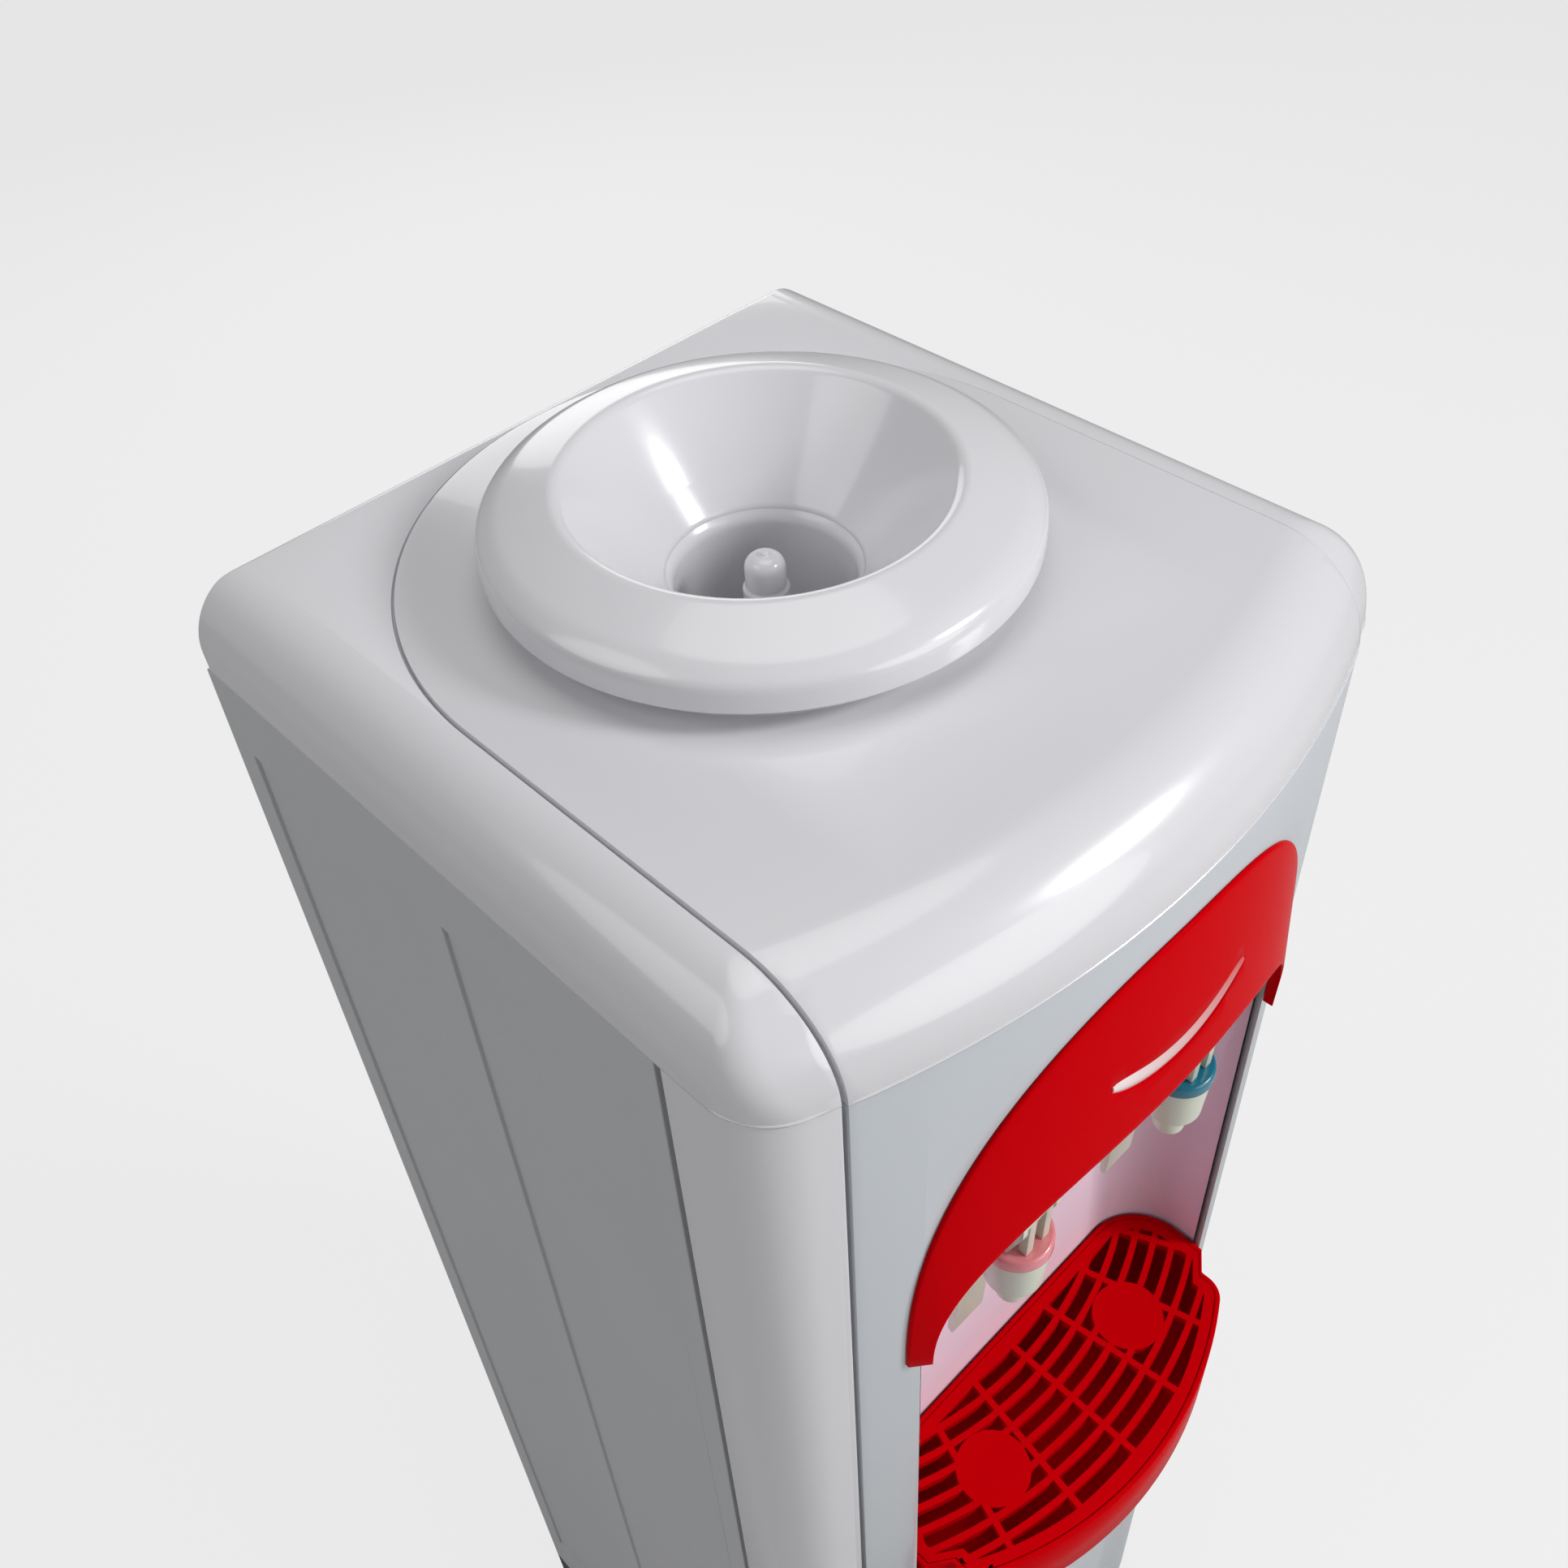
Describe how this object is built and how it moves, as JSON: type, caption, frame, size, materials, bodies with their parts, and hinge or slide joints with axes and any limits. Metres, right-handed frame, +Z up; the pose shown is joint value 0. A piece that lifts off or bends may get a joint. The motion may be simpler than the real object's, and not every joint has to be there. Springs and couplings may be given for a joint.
{
  "type": "water dispenser",
  "caption": "Floor-standing hot and cold water dispenser with an open bottle seat, two lever taps in a niche, a drip tray and a lower cabinet with a door.",
  "frame": {"origin": "on the floor, under the middle of the whole object's width and depth", "axes": "+Z up, the front with the taps faces -Y, +X is to the right of someone facing the back from the front, so the hot tap is at -X"},
  "size_m": [0.31, 0.356, 0.971],
  "materials": {
    "dark": "matt dark grey plastic",
    "rubber": "matt black rubber",
    "panel": "fine-textured light grey paint",
    "zinc": "plain zinc-plated sheet",
    "casing": "smooth glossy off-white plastic",
    "lilac": "glossy pale lilac plastic",
    "red": "glossy deep red plastic",
    "lens": "glossy clear orange strip",
    "steel": "drawn stainless steel",
    "ceramic": "matt off-white",
    "silicone": "milky silicone",
    "foam": "white expanded foam",
    "aluminium": "plain extruded aluminium",
    "cream": "satin cream plastic",
    "pink": "satin pink plastic",
    "teal": "satin teal plastic"
  },
  "bodies": {
    "cabinet": {"base_pan": "dark", "foot_front_left": "rubber", "foot_front_right": "rubber", "foot_rear_left": "rubber", "foot_rear_right": "rubber", "left_side_panel": "panel", "right_side_panel": "panel", "back_panel": "zinc", "top_cover": "casing", "left_column": "casing", "right_column": "casing", "front_panel": "casing", "niche_liner": "lilac", "fascia": "red", "indicator_lens": "lens", "door_pin_lower": "steel", "door_pin_upper": "steel", "cabinet_liner": "ceramic", "machine_shelf": "zinc", "tank_shelf": "zinc", "seat_gasket": "silicone", "cold_tank": "steel", "cold_tank_foam": "foam", "tank_baffle": "ceramic", "cold_block": "aluminium", "cooling_module": "ceramic", "heat_sink": "aluminium", "fan_frame": "dark", "hot_tank": "steel", "hot_tank_foam": "foam", "heater_band": "zinc", "feed_hose": "silicone", "cold_hose": "silicone", "hot_hose": "silicone", "hot_tap_body": "cream", "hot_tap_ring": "pink", "hot_tap_spring": "steel", "hot_tap_nut": "dark", "cold_tap_body": "cream", "cold_tap_ring": "teal", "cold_tap_spring": "steel", "cold_tap_nut": "dark", "power_supply": "dark", "switch_plate": "dark", "power_inlet": "dark"},
    "door": {"cabinet_door": "casing"},
    "tray": {"drip_tray": "red"},
    "grille": {"drip_grille": "red"},
    "seat": {"bottle_seat": "casing", "water_probe": "casing"},
    "hot_lever": {"hot_tap_lever": "cream"},
    "cold_lever": {"cold_tap_lever": "cream"},
    "hot_plunger": {"hot_tap_plunger": "cream", "hot_lever_pin": "steel"},
    "cold_plunger": {"cold_tap_plunger": "cream", "cold_lever_pin": "steel"},
    "fan": {"fan_rotor": "dark"},
    "hot_rocker": {"hot_switch": "red"},
    "cold_rocker": {"cold_switch": "teal"},
    "plug": {"drain_plug": "rubber"}
  },
  "joints": [
    {"name": "door_hinge", "type": "hinge", "parent": "cabinet", "child": "door", "pos_m": [-0.1186, -0.11838, 0.25], "axis": [0, 0, -1], "range_deg": [0, 105]},
    {"name": "tray_slide", "type": "slide", "parent": "cabinet", "child": "tray", "axis": [0, -1, 0], "range_m": [0, 0.085]},
    {"name": "grille_lift", "type": "slide", "parent": "tray", "child": "grille", "axis": [0, 0, 1], "range_m": [0, 0.03]},
    {"name": "seat_lift", "type": "slide", "parent": "cabinet", "child": "seat", "axis": [0, 0, 1], "range_m": [0, 0.1]},
    {"name": "hot_lever_press", "type": "hinge", "parent": "cabinet", "child": "hot_lever", "pos_m": [-0.05, -0.1374, 0.7463], "axis": [1, 0, 0], "range_deg": [0, 8], "stiffness_Nm_per_rad": 0.08, "springref_deg": -20.05},
    {"name": "cold_lever_press", "type": "hinge", "parent": "cabinet", "child": "cold_lever", "pos_m": [0.05, -0.1374, 0.7463], "axis": [1, 0, 0], "range_deg": [0, 8], "stiffness_Nm_per_rad": 0.08, "springref_deg": -20.05},
    {"name": "hot_plunger_lift", "type": "slide", "parent": "cabinet", "child": "hot_plunger", "axis": [0, 0, 1], "range_m": [0, 0.00125], "deforming": ["hot_tap_spring"]},
    {"name": "cold_plunger_lift", "type": "slide", "parent": "cabinet", "child": "cold_plunger", "axis": [0, 0, 1], "range_m": [0, 0.00125], "deforming": ["cold_tap_spring"]},
    {"name": "fan_spin", "type": "hinge", "parent": "cabinet", "child": "fan", "pos_m": [0, 0.153, 0.77], "axis": [0, 1, 0], "continuous": true},
    {"name": "hot_rocker_tilt", "type": "hinge", "parent": "cabinet", "child": "hot_rocker", "pos_m": [-0.066, 0.168, 0.586], "axis": [1, 0, 0], "range_deg": [-9, 9]},
    {"name": "cold_rocker_tilt", "type": "hinge", "parent": "cabinet", "child": "cold_rocker", "pos_m": [-0.045, 0.168, 0.586], "axis": [1, 0, 0], "range_deg": [-9, 9]},
    {"name": "plug_pull", "type": "slide", "parent": "cabinet", "child": "plug", "axis": [0, 1, 0], "range_m": [0, 0.02]}
  ],
  "couplings": [
    {"joint": "hot_lever_press", "follows": "hot_plunger_lift", "rad_per_m": 111.7},
    {"joint": "cold_lever_press", "follows": "cold_plunger_lift", "rad_per_m": 111.7}
  ]
}
